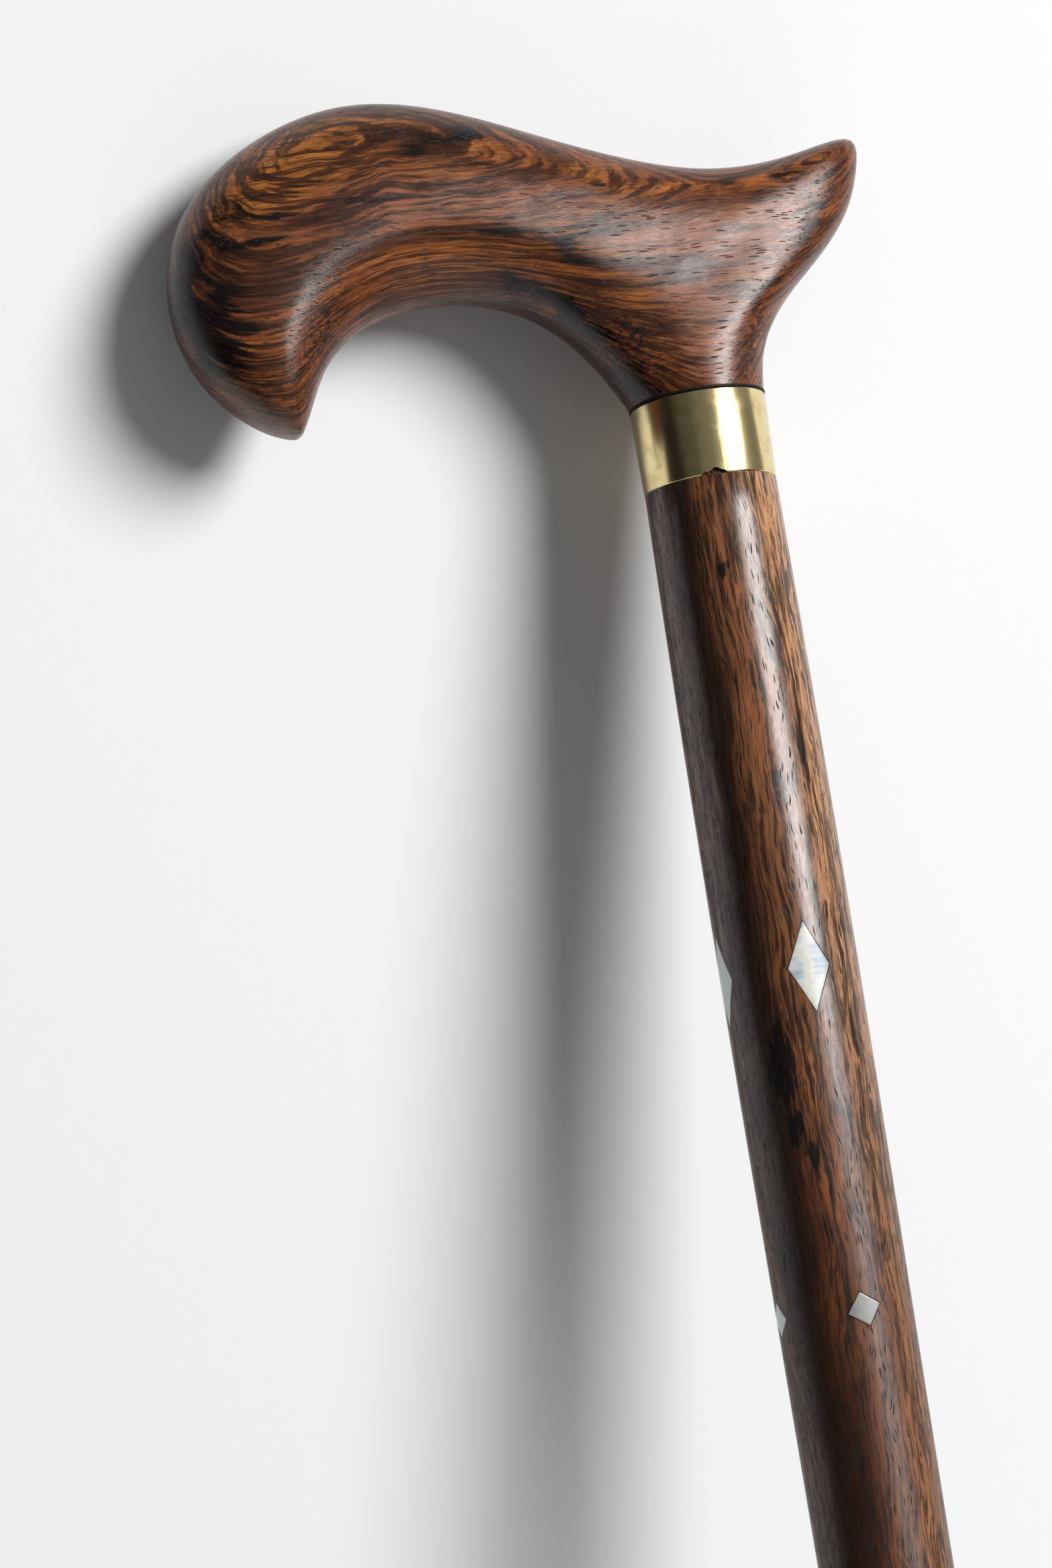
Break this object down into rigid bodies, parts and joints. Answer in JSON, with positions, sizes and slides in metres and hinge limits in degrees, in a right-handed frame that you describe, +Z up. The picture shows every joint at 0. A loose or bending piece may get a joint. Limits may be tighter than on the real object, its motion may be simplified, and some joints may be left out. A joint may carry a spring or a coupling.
{
  "type": "walking stick",
  "caption": "Wooden walking stick with a carved derby handle, brass collar, turned shaft with two rings of pearl inlays, and a rubber ferrule that pulls off.",
  "frame": {"origin": "centre of the ferrule's tread, on the ground", "axes": "+Z up along the shaft, beak of the handle towards -X, tail towards +X, front -Y"},
  "size_m": [0.1303, 0.033, 0.9189],
  "materials": {
    "handle_wood": "hand-rubbed satin, dark brown figured grain",
    "shaft_wood": "hand-rubbed satin, dark brown straight grain with open pores",
    "brass": "polished, slightly aged",
    "black_fibre": "matt black",
    "steel": "plain machined",
    "mother_of_pearl": "polished, pearly sheen",
    "rubber": "matt black moulded"
  },
  "bodies": {
    "stick": {"handle": "handle_wood", "spacer": "black_fibre", "collar": "brass", "joining_stud": "steel", "shaft": "shaft_wood", "large_inlay_front": "mother_of_pearl", "large_inlay_left": "mother_of_pearl", "large_inlay_back": "mother_of_pearl", "large_inlay_right": "mother_of_pearl", "small_inlay_front": "mother_of_pearl", "small_inlay_left": "mother_of_pearl", "small_inlay_back": "mother_of_pearl", "small_inlay_right": "mother_of_pearl"},
    "foot": {"ferrule": "rubber", "ferrule_washer": "steel"}
  },
  "joints": [
    {"name": "ferrule_pull", "type": "slide", "parent": "stick", "child": "foot", "axis": [0, 0, -1], "range_m": [0, 0.03]}
  ]
}
